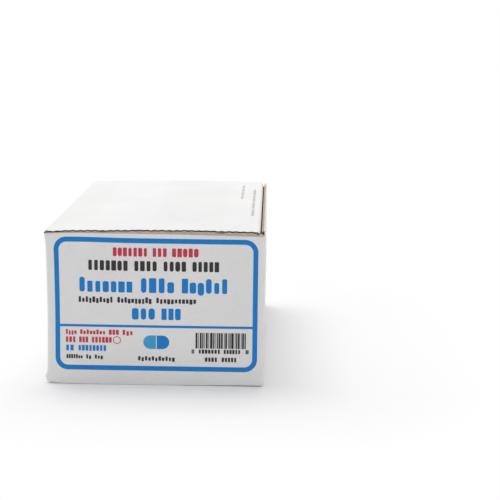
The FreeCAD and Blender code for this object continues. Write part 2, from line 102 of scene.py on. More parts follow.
def slab(outer, inner, closed=False):
    # A closed shell between two matching grids: both faces, and rims that join their edges.
    rows, columns = outer.shape[:2]
    count = rows * columns
    top = gridQuads(rows, columns, closed)
    index = np.arange(count).reshape(rows, columns)

    def rim(line):
        a, b = line[:-1], line[1:]
        return np.stack([b, a, a + count, b + count], -1)

    first, last = index[:, 0], index[:, -1]
    if closed:
        first, last = np.append(first, first[0]), np.append(last, last[0])
    faces = [top, top[:, ::-1] + count, rim(first), rim(last)[:, ::-1]]
    if not closed:
        faces += [rim(index[0])[:, ::-1], rim(index[-1])]
    points = np.concatenate([outer.reshape(-1, 3), inner.reshape(-1, 3)])
    return outward(points, np.concatenate(faces))


def joined(parts):
    # Several shells as one list of points and one of faces.
    offset = np.cumsum([0] + [len(points) for points, faces in parts[:-1]])
    points = np.concatenate([points for points, faces in parts])
    return points, np.concatenate([faces + start for (_, faces), start in zip(parts, offset)])


def newMesh(name, points, faces, material):
    # A smooth mesh of one material, from points in millimetres.
    mesh = bpy.data.meshes.new(name)
    mesh.from_pydata((points * metre).tolist(), [], faces.tolist())
    mesh.shade_smooth()
    mesh.materials.append(material)
    return mesh


def newObject(name, data):
    # An object with this data, in the scene.
    thing = bpy.data.objects.new(name, data)
    bpy.context.scene.collection.objects.link(thing)
    return thing


def makePiece(name, parts, material, move, body=None, slotName=None, node=None, wearAndShade=None):
    # One mesh object. move bends its points as the real box has given way, and the wear function
    # gives each point's share of wear, partly painted shade on the white liner's upper folds. The
    # second grid of every slab is its backing.
    points, faces = joined(parts)
    mesh = newMesh(name, move(points), faces, material)
    shares = {"backing": np.concatenate([np.repeat([0, 1], len(part) // 2) for part, _ in parts])}
    if wearAndShade is not None:
        shares["wearAndShade"] = wearAndShade(points)
    for title, values in shares.items():
        layer = mesh.attributes.new(title, "FLOAT", "POINT")
        layer.data.foreach_set("value", values.astype(np.float32))
    mesh.set_sharp_from_angle(angle=sharpAngle)
    piece = newObject(name, mesh)
    if body:
        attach(piece, body)
    if node:
        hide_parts(node)
    return piece


def sideOf(heading):
    # The right-hand side of each heading of a path in a plane.
    return np.stack([heading[:, 1], -heading[:, 0]], -1)


def offsetCorners(corners, distance):
    # A chain of corners moved to the right, each to where its two moved sides cross.
    corners = np.asarray(corners, float)
    along = np.diff(corners, axis=0)
    along /= np.linalg.norm(along, axis=1, keepdims=True)
    side = sideOf(along)
    before = np.vstack([side[:1], side])
    after = np.vstack([side, side[-1:]])
    reach = 1 + (before * after).sum(1, keepdims=True)
    return corners + distance * (before + after) / reach


def bentPath(corners, radius, counts, arcSteps=12):
    # Straight runs joined by arcs: each corner is cut back by the radius times the tangent of
    # half the turn, and the arc is swept about a centre beside the cut. Gives points, headings
    # and the number of the run that each point is on, with a half added on an arc.
    corners = np.asarray(corners, float)
    along = np.diff(corners, axis=0)
    along /= np.linalg.norm(along, axis=1, keepdims=True)
    turns = [math.atan2(a[0] * b[1] - a[1] * b[0], a @ b) for a, b in zip(along, along[1:])]
    cuts = [0.0] + [radius * math.tan(abs(turn) / 2) for turn in turns] + [0.0]
    places, headings, runs = [], [], []
    for k, count in enumerate(counts):
        share = np.linspace(0, 1, count + 1)[:, None]
        start = corners[k] + along[k] * cuts[k]
        stop = corners[k + 1] - along[k] * cuts[k + 1]
        places.append(start + share * (stop - start))
        headings.append(np.repeat(along[k][None], count + 1, 0))
        runs.append(np.full(count + 1, float(k)))
        if k < len(turns):
            centre = stop - sideOf(along[k : k + 1])[0] * np.sign(turns[k]) * radius
            angle = np.linspace(0, turns[k], arcSteps + 1)[1:-1]
            spin = np.stack([np.cos(angle), -np.sin(angle), np.sin(angle), np.cos(angle)], -1)
            spin = spin.reshape(-1, 2, 2)
            places.append(centre + spin @ (stop - centre))
            headings.append(spin @ along[k])
            runs.append(np.full(arcSteps - 1, k + 0.5))
    return np.concatenate(places), np.concatenate(headings), np.concatenate(runs)


def travelAlong(path):
    # Distance travelled along a path at each of its points.
    return np.concatenate([[0], np.cumsum(np.linalg.norm(np.diff(path, axis=0), axis=1))])


def edgeSpaced(length, step, rim=(0.0, 0.15, 0.4, 0.8, 1.3, 2.2)):
    # Shares of a length from 0 to 1, even inside and close together next to both ends.
    count = max(2, round((length - 2 * rim[-1]) / step)) + 1
    inside = np.linspace(rim[-1], length - rim[-1], count)
    near = np.array(rim[:-1])
    return np.concatenate([near, inside, length - near[::-1]]) / length


def bell(value, centre, width):
    # A bell that is 1 at its centre and falls with the square of the distance over its width.
    return np.exp(-(((value - centre) / width) ** 2))


def ramp(value, start, stop):
    # Rises from 0 at start to 1 at stop along 3t squared less 2t cubed.
    t = np.clip((value - start) / (stop - start), 0, 1)
    return t * t * (3 - 2 * t)


# What the die does to the board within reach of a cut edge: shares of the flute's height and
# distances in millimetres.
crush = {
    "reach": 1.5,
    "outerShare": 0.2,  # how far the outer liner follows the flutes
    "outerSink": 0.15,
    "flatten": 0.85,  # how much of the flutes is pressed flat
    "sink": 0.38,  # of the flutes, away from the outer liner
    "fray": 0.06,  # by how much the medium swells to both sides
    "foldPinch": 0.35,  # by how much it thins at a fold's end
    "uneven": 0.3,  # share by which all of this comes and goes
    "unevenSpans": (5.3, 2.1),  # of the two sines by which it does
    "pinch": 0.28,  # how far raw wall edges close in from both sides
}
amplitude = (board["thickness"] - 2 * board["liner"] - board["medium"]) / 2  # of the flutes


def sideSection(u, v, w):
    # A path in the side section: depth and height, with x across.
    return np.stack([w, u, v], -1)


def frontSection(u, v, w):
    # A path in the front section: x and height, with depth across.
    return np.stack([u, w, v], -1)


def spread(path, low, high, shares, place):
    # Places a path's points at each share of the way from low to high, across the path.
    low = np.broadcast_to(low, len(path))[:, None]
    high = np.broadcast_to(high, len(path))[:, None]
    across = low + (high - low) * shares[None, :]
    first = np.broadcast_to(path[:, :1], across.shape)
    second = np.broadcast_to(path[:, 1:], across.shape)
    return place(first, second, across)


def boardLayers(corners, radius, ends, place, waves=True, step=6.0, crushed=False, filled=False):
    # Outer liner, inner liner and medium of board bent along a chain of corners, the chain being
    # its outer surface with the board on the right. The medium is a sine of one flute pitch
    # between the liners and is pressed together at folds. Near crushed edges, unevenly, the
    # outer liner follows the flutes a little, the medium swells and lies flatter and lower,
    # which opens a slot beneath the outer liner.
    thick, liner, half = board["thickness"], board["liner"], board["medium"] / 2
    lengths = np.linalg.norm(np.diff(np.asarray(corners, float), axis=0), axis=1)
    fine = board["pitch"] / 8 if waves else step
    counts = [max(1, math.ceil(length / fine)) for length in lengths]
    top, _, run = bentPath(corners, radius, counts)
    low, high = (np.broadcast_to(end, len(top)) for end in ends(top))
    width = float((high - low).max())
    shares = edgeSpaced(width, step)
    travel = travelAlong(top)
    edge = bell(np.minimum(shares, 1 - shares) * width, 0, crush["reach"])[None] * crushed
    slow, fast = crush["unevenSpans"]
    edge = edge * (1 + crush["uneven"] * np.sin(travel / slow + 1) * np.sin(travel / fast))[:, None]
    fold = np.full(len(top), float(filled))
    folds = travel[run % 1 > 0]
    if len(folds) and not filled:
        fold = bell(np.abs(travel[:, None] - folds[None]).min(1), 0, board["foldReach"])
    fold = fold[:, None]
    wave = (amplitude * np.sin(2 * np.pi * travel / board["pitch"]) * waves)[:, None] * (1 - fold)
    filling = thick / 2 - liner - board["foldSlack"]
    half = half + (filling - half - crush["foldPinch"] * edge) * fold
    half = half + crush["fray"] * edge * (1 - fold)

    def sheet(depth, shift=0.0):
        # the board's surface at a depth, moved inwards by a shift
        bend = max(radius - depth, board["innerRadius"])
        path, heading, _ = bentPath(offsetCorners(corners, depth), bend, counts)
        base = spread(path, low, high, shares, place)
        inward = spread(path + sideOf(heading), low, high, shares, place) - base
        return base + inward * np.broadcast_to(shift, base.shape[:2])[..., None]

    sink = edge * (crush["outerShare"] * (amplitude - wave) + crush["outerSink"])
    middle = -wave * (1 - crush["flatten"] * edge) + crush["sink"] * edge * (1 - fold)
    return (
        slab(sheet(0, sink), sheet(liner, sink)),
        slab(sheet(thick - liner), sheet(thick)),
        slab(sheet(thick / 2, middle - half), sheet(thick / 2, middle + half)),
    )


def together(layerSets):
    # Layers of several runs of board, grouped as outer liners, inner liners and mediums.
    return [list(group) for group in zip(*layerSets)]


givenWay = {
    "frontBulge": 0.35,
    "sideBulge": 0.4,
    "cornerWaist": 0.5,  # the front left edge drawn in at mid height
    "topCornerOut": 0.6,
    "lowCornerOut": 0.9,
    "lowCornerUp": 0.9,
    "lowEdgeUp": 0.1,
    "lowRightUp": 0.35,
    "topLeftUp": 0.3,
    "foldUp": (0.2, 0.18),  # how the front wall's upper fold stands up towards the lid
    "lidCrown": 0.7,
    "lidDroop": 0.5,
}
# How far each of these reaches: the widths of bells, and where ramps start and stop. Levels are
# heights, and what inwards uses is a distance inwards from the face of a wall or the lid.
reaches = {
    "wall": (6, 2),  # of the bulges
    "corner": (8, 12),  # across and along the box
    "topCorner": 4,
    "lowCorner": (2.1, 2.1),  # height and width
    "slowFold": (16, 2),
    "steepFold": (2.5, 0.5),
    "foldFace": (1, 0.3),
    "foldLevels": (52, 60),
    "foldTop": 62.4,
    "foldCorner": (0.6, 4),  # share lost at the left corner, and width
    "topLeft": (-31, 14),  # place and width
    "topLeftLevels": (25, 60),
    "topLeftFace": (9, 2),
    "lowEdge": 16,
    "lowCornerEdge": 3.5,
    "lowRight": (0, 42),
    "lowLevels": (0.5, 7),
    "lowFace": (5, 1),
    "lidCrown": (12, 112),  # middle and span
    "lidCorner": (6, 8),
    "lidThickness": (1.7, 1.2),
}


def lidCrown(x):
    # How far the lid bows upwards: a squared cosine over its width.
    middle, span = reaches["lidCrown"]
    return givenWay["lidCrown"] * np.cos(np.pi * np.clip((x - middle) / span, -0.5, 0.5)) ** 2


def inwards(distance, face, name):
    # A ramp towards a wall's face, over the named distances inwards from it.
    far, near = reaches[name]
    return ramp(distance, face - far, face - near)


def settle(points):
    # Walls bow outwards by a half sine over their height and a parabola over their length.
    # Bells at the front left edge draw it in at mid height and push its ends out. The front
    # fold, from above the label, follows the lid's crown, a bell lifts the wall towards its
    # upper left, and the lower front edge lifts off the floor at both ends.
    x, y, z = (points[..., k] for k in range(3))
    g, r = givenWay, reaches
    rise = np.sin(np.pi * np.clip(z / boxHeight, 0, 1))
    across = 1 - np.clip(np.abs(x) / halfWidth, 0, 1) ** 2
    deep = 1 - np.clip(np.abs(y) / halfDepth, 0, 1) ** 2
    moved = points.copy()
    atWall = inwards(np.abs(y), halfDepth, "wall")
    moved[..., 1] += np.sign(y) * g["frontBulge"] * rise * across * atWall
    atWall = inwards(np.abs(x), halfWidth, "wall")
    moved[..., 0] += np.sign(x) * g["sideBulge"] * rise * deep * atWall
    corner = bell(x, -halfWidth, r["corner"][0]) * bell(y, -halfDepth, r["corner"][1])
    outwards = g["topCornerOut"] * bell(z, boxHeight, r["topCorner"])
    outwards = outwards + g["lowCornerOut"] * bell(z, *r["lowCorner"])
    moved[..., 0] += corner * (g["cornerWaist"] * rise - outwards)
    slow = (lidCrown(x) + g["foldUp"][0]) * inwards(-y, halfDepth, "slowFold")
    steep = g["foldUp"][1] * inwards(-y, halfDepth, "steepFold")
    inside = ramp(z, *r["foldLevels"])
    onFace = ramp(z, label["high"], r["foldTop"])
    share = inside + inwards(-y, halfDepth, "foldFace") * (onFace - inside)
    lost, width = r["foldCorner"]
    moved[..., 2] += (slow + steep) * share * (1 - lost * bell(x, -halfWidth, width))
    rise = g["topLeftUp"] * bell(x, *r["topLeft"]) * ramp(z, *r["topLeftLevels"])
    moved[..., 2] += rise * inwards(-y, halfDepth, "topLeftFace")
    lift = g["lowEdgeUp"] * bell(x, -halfWidth, r["lowEdge"])
    lift = lift + g["lowCornerUp"] * bell(x, -halfWidth, r["lowCornerEdge"])
    lift = lift + g["lowRightUp"] * ramp(x, *r["lowRight"])
    moved[..., 2] += lift * (1 - ramp(z, *r["lowLevels"])) * inwards(-y, halfDepth, "lowFace")
    return moved


def settleLid(points):
    # The lid is crowned, droops by bells at its hinge corners, and its front left corner is
    # pushed out by bells as the wall's is.
    x, y, z = (points[..., k] for k in range(3))
    across, along = reaches["lidCorner"]
    atCorner = bell(x, -halfWidth, across) * bell(np.abs(y), halfDepth, along)
    moved = points.copy()
    droop = givenWay["lidDroop"] * atCorner * inwards(z, boxHeight, "lidThickness")
    moved[..., 2] += lidCrown(x) - droop
    across, along = reaches["corner"]
    outwards = givenWay["topCornerOut"] * bell(x, -halfWidth, across)
    moved[..., 0] -= outwards * bell(y, -halfDepth, along)
    return moved


def linear(hexColour):
    # sRGB hex to linear: each channel over 255, then the 2.4 power curve with its straight foot.
    channels = [int(hexColour[k : k + 2], 16) / 255 for k in (1, 3, 5)]
    curve = [c / 12.92 if c <= 0.04045 else ((c + 0.055) / 1.055) ** 2.4 for c in channels]
    return (*curve, 1.0)


def addNode(tree, kind, inputs=None, **settings):
    # Adds a node, sets its properties, and fills its sockets with numbers or other outputs.
    node = tree.nodes.new("ShaderNode" + kind)
    for name, value in settings.items():
        setattr(node, name, value)
    for socket, value in (inputs or {}).items():
        if isinstance(value, bpy.types.NodeSocket):
            tree.links.new(value, node.inputs[socket])
        else:
            node.inputs[socket].default_value = value
    return node


def newMaterial(name, grains=(), **settings):
    # A material, its node tree, its shader with settings on its own sockets, coordinates, and a
    # noise for each grain: how many millimetres its features are apart, and its detail.
    material = bpy.data.materials.new(name)
    material.use_nodes = True
    tree = material.node_tree
    shader = tree.nodes["Principled BSDF"]
    for socket, value in settings.items():
        shader.inputs[socket.replace("_", " ")].default_value = value
    place = addNode(tree, "TexCoord").outputs["Object"]
    noises = []
    for apart, detail in grains:
        inputs = {"Vector": place, "Scale": 1 / (apart * metre), "Detail": detail}
        noises.append(addNode(tree, "TexNoise", inputs).outputs["Fac"])
    return material, tree, shader, place, noises


def fromTo(tree, share, low, high, first, second):
    # The first colour where the share is low, the second where it is high, mixed in between.
    inputs = {"Value": share, "From Min": low, "From Max": high}
    share = addNode(tree, "MapRange", inputs).outputs["Result"]
    inputs = {"Factor": share, "A": first, "B": second}
    return addNode(tree, "Mix", inputs, data_type="RGBA").outputs["Result"]


def finish(tree, shader, colour, height, depth):
    # Joins the colour and a bump of this depth in millimetres to the shader.
    if colour:
        tree.links.new(colour, shader.inputs["Base Color"])
    bump = addNode(tree, "Bump", {"Height": height, "Strength": 0.5, "Distance": depth * metre})
    tree.links.new(bump.outputs["Normal"], shader.inputs["Normal"])


def paper(name, pale, dark, wornAndShaded, roughness, cloudSize, fibreSize, grain, back=None):
    # Paper: soft clouds from uneven formation and fine fibres give its colour and its bump.
    # Where the attribute of wear and painted shade and a fine noise add up to enough, the worn
    # colour shows: frayed fibres at raw edges, and on the white liner's upper folds cracked coating
    # together with painted shade under the lid's edge. A coated paper has a back of another colour.
    grains = ((cloudSize, 3.0), (fibreSize, 4.0), (1.1, 5.0))
    material, tree, shader, _, noises = newMaterial(name, grains, Roughness=roughness)
    clouds, fibres, fleck = noises
    formed = addNode(tree, "Mix", {"Factor": 0.5, "A": clouds, "B": fibres}).outputs["Result"]
    colour = fromTo(tree, formed, 0.35, 0.65, linear(dark), linear(pale))
    share = addNode(tree, "Attribute", attribute_name="wearAndShade").outputs["Fac"]
    inputs = {0: fleck, 1: 0.5, 2: share}
    both = addNode(tree, "Math", inputs, operation="MULTIPLY_ADD").outputs["Value"]
    colour = fromTo(tree, both, 0.55, 1.0, colour, linear(wornAndShaded))
    if back:
        share = addNode(tree, "Attribute", attribute_name="backing").outputs["Fac"]
        colour = fromTo(tree, share, 0.5, 1.0, colour, linear(back))
    finish(tree, shader, colour, formed, grain)
    return material


def ink(name, full, thin):
    # Printing ink over the coating: full colour, paler where a fine noise says it lies thin.
    settings = {"Roughness": 0.4, "Specular_IOR_Level": 0.3}
    material, tree, shader, _, (spots,) = newMaterial(name, [(0.7, 4.0)], **settings)
    finish(tree, shader, fromTo(tree, spots, 0.4, 0.75, linear(full), linear(thin)), spots, 0.01)
    return material


# Clay-coated white liner: smooth satin paper that goes beige where a fold cracks its coating,
# which on the upper folds of the front and back walls is also painted shade under the lid's
# edge, with a bare brown back that keeps the flutes dark.
whiteLiner = paper(
    "clayCoatedWhiteLiner", "#f2f1f0", "#ebeaea", "#c4b6a9", 0.5, 24.0, 0.9, 0.02, "#94764f"
)
# Unbleached kraft liner: brown and dull, with long fibres, frayed paler at cut edges.
brownLiner = paper("unbleachedKraftLiner", "#bd9f7a", "#b08f69", "#dccbbd", 0.85, 14.0, 0.7, 0.05)
# Recycled fluting medium: thinner and greyer than the liners, and painted darker than its own
# colour as painted shade that deepens the slots of the flutes at cut edges.
fluting = paper("corrugatedMedium", "#94795a", "#7f6649", "#dccbbd", 0.9, 6.0, 0.6, 0.05)
blueInk = ink("flexoBlueInk", "#007ed0", "#0d86d4")
skyInk = ink("flexoSkyInk", "#3a9fd8", "#52a9dc")
redInk = ink("flexoRedInk", "#c72f49", "#cf4860")
blackInk = ink("flexoBlackInk", "#2c292a", "#3e3a3b")
greyInk = ink("flexoGreyInk", "#cfc8c8", "#dcd7d7")


def formedFilm():
    # Clear blister film: glossy and faintly blue, with shallow ripples from forming.
    settings = {"Roughness": 0.06, "IOR": 1.38, "Transmission_Weight": 1.0}
    material, tree, shader, _, (ripples,) = newMaterial(
        "thermoformedClearFilm", [(5.0, 3.0)], Base_Color=linear("#eef3fb"), **settings
    )
    finish(tree, shader, None, ripples, 0.12)
    return material


def lidding():
    # Aluminium lidding foil: embossed with crossed diagonal ridges, which turn its shine into a
    # fine diamond pattern, and slightly creased. Its colour is painted lighter on the ridges and
    # darker between them, as painted highlight and shade of the embossing.
    settings = {"Metallic": 1.0, "Roughness": 0.36, "Base_Color": linear("#c9ccd2")}
    material, tree, shader, place, (creases,) = newMaterial(
        "embossedLiddingFoil", [(7.0, 3.0)], **settings
    )
    turned = []
    for angle in (45, -45):
        inputs = {"Vector": place, "Rotation": (0, 0, math.radians(angle))}
        spun = addNode(tree, "Mapping", inputs).outputs["Vector"]
        bands = addNode(tree, "TexWave", {"Vector": spun, "Scale": 1 / (4.2 * metre)})
        turned.append(bands.outputs["Fac"])
    inputs = {0: turned[0], 1: turned[1]}
    ridges = addNode(tree, "Math", inputs, operation="MAXIMUM").outputs["Value"]
    height = addNode(tree, "Mix", {"Factor": 0.35, "A": ridges, "B": creases}).outputs["Result"]
    # painted highlight on the ridges and painted shade in the hollows between them
    colour = fromTo(tree, ridges, 0.0, 1.0, linear("#aeb2ba"), linear("#d3d6dc"))
    finish(tree, shader, colour, height, 0.2)
    return material


def pressedTablet():
    # Pressed chalky tablet: matt white, with powder grain and faint darker specks.
    material, tree, shader, _, (grain,) = newMaterial(
        "pressedChalkTablet", [(0.35, 5.0)], Roughness=0.75
    )
    colour = fromTo(tree, grain, 0.3, 0.5, linear("#dcdad4"), linear("#f3f2ee"))
    finish(tree, shader, colour, grain, 0.05)
    return material


card = {
    "columns": (-19.05, 19.05),
    "rows": (-35.7, -12.1, 11.5, 35.1),
    "cell": (38.1, 23.6),
    "slit": 0.1,  # half the width of the perforated cut between cells
    "film": 0.25,
    "overFoil": 0.04,
    "baseRadius": 8.8,
    "baseStraight": 6.1,  # half the straight run of the pocket's outline
    "topRadius": 5.2,
    "topStraight": 7.15,
    "depth": 7.0,
    # rings of the flat film, as shares of the way to the pocket, and their heights
    "flat": ((0, 0.0), (0.12, 0.12), (0.3, 0.0), (0.7, 0.0), (0.93, 0.02)),
    # rings of the pocket's side, as shares of the way to its top and of its height
    "side": ((0, 0.03), (0.05, 0.1), (0.3, 0.38), (0.62, 0.7), (0.85, 0.92), (1, 0.98)),
    "top": (0.9, 0.6, 0.3, 0.01),  # rings of its top, as shares of its radius
    "crimp": 0.1,
    "crimpPitch": 1.9,
    "stripPoints": (160, 4),
}


def pocketSheet(rise):
    # One cell of formed film as rings from its rectangular edge to the pocket's middle line.
    # Each ring is a long round outline, its straight run and radius drawn in as it climbs; the
    # outer ones are the same outline grown along rays from the middle until it fills the cell.
    turn = np.radians(np.linspace(-90, 90, 13))
    run = np.linspace(1, -1, 7)[1:-1]
    centre = np.concatenate([np.ones(13), run, -np.ones(13), -run])
    quarter = np.full(len(run), np.pi / 2)
    turn = np.concatenate([turn, quarter, turn + np.pi, -quarter])
    normal = np.stack([np.cos(turn), np.sin(turn)], -1)

    def outline(straight, radius):
        flat = normal * radius
        flat[:, 0] += centre * straight
        return flat

    base = outline(card["baseStraight"], card["baseRadius"])
    half = np.array(card["cell"]) / 2 - card["slit"]
    edge = base * (half / np.maximum(np.abs(base), 1e-6)).min(1, keepdims=True)
    rings, heights = [], []
    for share, height in card["flat"]:
        rings.append(edge + share * (base - edge))
        heights.append(height)
    for share, climb in card["side"]:
        straight = card["baseStraight"] + share * (card["topStraight"] - card["baseStraight"])
        radius = card["baseRadius"] + share * (card["topRadius"] - card["baseRadius"])
        rings.append(outline(straight, radius))
        heights.append(climb * card["depth"])
    for share in card["top"]:
        rings.append(outline(card["topStraight"], share * card["topRadius"]))
        heights.append(card["depth"])
    flat = np.stack(rings, 1)
    z = np.array(heights) * (card["depth"] - card["film"]) / card["depth"] + rise
    return np.concatenate([flat, np.broadcast_to(z, flat.shape[:2])[..., None]], -1)


def makeCards():
    # Each card's film is made of formed cells and two crimped end strips over its foil. The foil
    # and the tablets keep their solids.
    looks = {"foil": lidding(), "tablets": pressedTablet()}
    film = formedFilm()
    cell = pocketSheet(card["overFoil"]), pocketSheet(card["overFoil"] + card["film"])
    for name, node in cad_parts.items():
        kind = name.split("_")[0]
        if kind in looks:
            node.material_slots[0].material = looks[kind]
        if kind != "film":
            continue
        cardLow, cardHigh = boxOf(name)
        middles = [np.array([x, y, cardLow[2]]) for x in card["columns"] for y in card["rows"]]
        parts = [slab(cell[0] + middle, cell[1] + middle, closed=True) for middle in middles]
        gap = card["slit"]
        halfCell = card["cell"][1] / 2
        along, across = card["stripPoints"]
        for near, far in (
            (cardLow[1], card["rows"][0] - halfCell - gap),
            (card["rows"][-1] + halfCell + gap, cardHigh[1]),
        ):
            x = np.linspace(cardLow[0], cardHigh[0], along)
            x, y = np.meshgrid(x, np.linspace(near, far, across), indexing="ij")
            wave = 1 + np.sin(2 * np.pi * x / card["crimpPitch"])
            z = cardLow[2] + card["overFoil"] + card["crimp"] * wave
            parts.append(slab(np.stack([x, y, z], -1), np.stack([x, y, z + card["film"]], -1)))
        makePiece(f"{name}_sheet", parts, film, np.array, "carton", "clear_film", name)


# Where wear shows, and on the upper folds of the front and back walls painted shade as well.
wearAndShadePlaces = {
    "below": 0.4,  # from the upper fold down to where the wear and painted shade start
    "lower": 0.32,  # by how much it starts lower at the right
    "lowerFrom": (-30, 25),  # x between which it falls
    "fade": (-0.15, 0.25),  # heights over that level between which it comes in
    "face": (2.2, 1.4),  # distances inwards from the wall's face between which it does
    "frayed": 0.12,  # width of the frayed edge of the lid
    "frayedTop": 0.4,  # and of the right wall's upper edge,
    "frayedInset": 0.7,  # whose middle lies this far inwards
}
flapTop = boxHeight - board["thickness"] - board["gap"]
flapLow = board["thickness"] + board["gap"]
lipLevel = 0.03  # how high the lower front fold hangs over the floor
seamEnd = 2.2  # how far the glued seam's tab stops short of the box's height at both ends
liningEnd = 2.3  # how far from the flaps the straight lining of the front wall ends
# Lowest and highest level of each wall: where its fold or its raw edge ends.
skinLevels = {
    "front": (lipLevel, flapTop),
    "seam": (seamEnd, boxHeight - seamEnd),
    "right": (boxHeight - rightWallTop, rightWallTop),
    "left": (board["hingeRadius"], boxHeight - board["hingeRadius"]),
}
liningLevels = {**skinLevels, "front": (flapLow + liningEnd, flapTop - liningEnd)}
wall = {
    "seamStart": 13.7,  # how far the glued seam's tab reaches in from the back
    "seamGap": 0.4,
    "counts": (4, 24, 40, 28, 40),  # steps along the tab and the four walls
    "rimSteps": 8,
    "rows": 32,
    "pinchReach": 0.8,
    "edgeInset": 0.05,  # of the medium at raw edges
    "edgeBand": 6,  # how deep the medium is drawn there
    "sideBand": (3, 0.7),  # how far before and past the back left fold it is drawn
}


def wornAndShadedFolds(points):
    # Share of wear and painted shade on the carton: the upper folds of the front and back walls,
    # from a level that is lower towards the right. It is partly coating cracked at the fold and
    # partly painted shade under the lid's edge, which reaches lower at the right where the lid
    # stands higher.
    x, y, z = (points[:, k] for k in range(3))
    places = wearAndShadePlaces
    level = flapTop - places["below"] - places["lower"] * ramp(x, *places["lowerFrom"])
    (down, up), (far, near) = places["fade"], places["face"]
    return ramp(z, level + down, level + up) * ramp(np.abs(y), halfDepth - far, halfDepth - near)


def frayedEdges(points):
    # Share of wear on bare board: bells at the raw edges of the lid and the right wall.
    x, y, z = (points[:, k] for k in range(3))
    ends = bell(np.abs(y), closing["panelHalfDepth"], wearAndShadePlaces["frayed"])
    top = bell(z, rightWallTop, wearAndShadePlaces["frayedTop"])
    return np.maximum(ends, top * bell(x, halfWidth - wearAndShadePlaces["frayedInset"], 1.0))


def wallSheet(depth, levels, rimmed, pinch):
    # The strip of walls at a depth in the board, from the glued seam tab once round the box.
    # Front and back end above and below in rims: quarter circles that turn inwards, faded out
    # towards the side walls. Raw edges of the right wall close in by bells.
    inside = -halfWidth + board["thickness"]
    plan = [
        (inside, halfDepth - wall["seamStart"]),
        (inside, halfDepth),
        (halfWidth, halfDepth),
        (halfWidth, -halfDepth),
        (-halfWidth, -halfDepth),
        (-halfWidth, halfDepth - wall["seamGap"]),
    ]
    bend = max(board["cornerRadius"] - depth, board["innerRadius"])
    path, heading, run = bentPath(offsetCorners(plan, depth), bend, wall["counts"])
    side = sideOf(heading)
    names = {0: "seam", 2: "right", 4: "left"}
    ends = np.array([levels[names.get(number, "front")] for number in run])
    low, high = ends[:, :1], ends[:, 1:]
    fold = np.clip(2 * np.abs(side[:, 1:]), 0, 1) * rimmed
    angle = np.linspace(np.pi / 2, 0, wall["rimSteps"])[None]

    def rim(radius):
        # how far a rim's points turn inwards, and how far they are from its end
        across = fold * (radius - depth) * (1 - np.cos(angle))
        up = radius - (radius - fold * depth) * np.sin(angle)
        return across, up

    lowRadius, highRadius = board["rimRadius"]
    (lowIn, lowUp), (highIn, highDown) = rim(lowRadius), rim(highRadius)
    start, stop = low + lowRadius, high - highRadius
    middle = start + (stop - start) * np.linspace(0, 1, wall["rows"])[None, 1:-1]
    z = np.concatenate([low + lowUp, middle, (high - highDown)[:, ::-1]], 1)
    inset = np.concatenate([lowIn, 0 * middle, highIn[:, ::-1]], 1)
    nearEdge = bell(z, high, wall["pinchReach"]) + bell(z, low, wall["pinchReach"])
    raw = (run == 2)[:, None] * nearEdge
    inset = (inset + pinch * raw)[..., None]
    flat = path[:, None] + side[:, None] * inset
    return np.concatenate([flat, z[..., None]], -1)


dustFlap = {
    "left": -42.0,
    "right": 38.55,
    "length": 38.0,
    "taper": 5.0,
    "shoulder": 8.0,
    "root": 3.2,  # how far the full-width strip beside the fold reaches
    "liningRadius": 0.7,
    "dip": 0.6,  # how far the lower fold's skin runs on at floor level
    "dipSlope": 1.0,  # and how far it takes to rise from there
}


def makeDustFlaps():
    # Four flaps that fold level from the front and back walls, cut to a tapered outline.
    sets = []
    tip = halfDepth - dustFlap["length"]
    shoulder = tip + dustFlap["shoulder"]
    lowRim, highRim = (halfDepth - radius for radius in board["rimRadius"])
    root = halfDepth - dustFlap["root"]
    foldEnd = halfWidth - board["cornerRadius"]

    def tapered(path):
        # left and right ends of a flap, drawn in evenly from its shoulder to its tip
        share = np.clip((shoulder - np.abs(path[:, 0])) / (shoulder - tip), 0, 1)
        return (
            dustFlap["left"] + dustFlap["taper"] * share,
            dustFlap["right"] - dustFlap["taper"] * share,
        )

    def full(path):
        # ends of the folds, which are as wide as the wall's flat part
        return -foldEnd, foldEnd

    for side in (-1, 1):
        for level, up in ((flapTop, 1), (flapLow, -1)):
            # the board lies on a chain's right, so the chain runs the other way on mirrored flaps
            order = 1 if side * up < 0 else -1
            skin = [(side * highRim, level), (side * root, level)]
            if up < 0:
                dip = lowRim - dustFlap["dip"]
                risen = (side * (dip - dustFlap["dipSlope"]), level)
                skin = [(side * lowRim, lipLevel), (side * dip, lipLevel), risen, skin[1]]
            lining = [
                (side * halfDepth, level - liningEnd * up),
                (side * halfDepth, level),
                (side * root, level),
            ]
            flap = [(side * root, level), (side * shoulder, level), (side * tip, level)]
            crease, bend = board["creaseRadius"], dustFlap["liningRadius"]
            outer = boardLayers(skin[::order], crease, full, sideSection, waves=False)
            inner = boardLayers(lining[::order], bend, full, sideSection, waves=False, filled=True)
            sets.append((outer[0], inner[1], inner[2]))
            sets.append(boardLayers(flap[::order], crease, tapered, sideSection))
    return together(sets)


closing = {
    "panelHalfDepth": halfDepth - 0.3,
    "bottomHalfDepth": halfDepth - 2.6,
    "tuckHalfDepth": halfDepth - 3.0,
    "hingeX": -halfWidth + board["hingeRadius"],  # where the fold ends and the panel starts
    "panelEnd": 41.0,  # where the flat panel ends and the tuck fold starts
    "tuckX": 42.921,
    "tuckDrop": 13.619,
    "tuckLean": 1.672,
    "tuckRadius": 1.5,
    "tuckNarrows": (0.5, 1.6),  # depths between which the tuck fold narrows to its flap
    "tipChamfer": 7.0,
    "hingeInset": (0.35, 0.4, 0.4),  # by how much the fold's layers end short of the panel
    "hingeOverlap": 0.02,  # of the fold with the wall and the panel
    "bottomFoldRadius": 1.6,
}


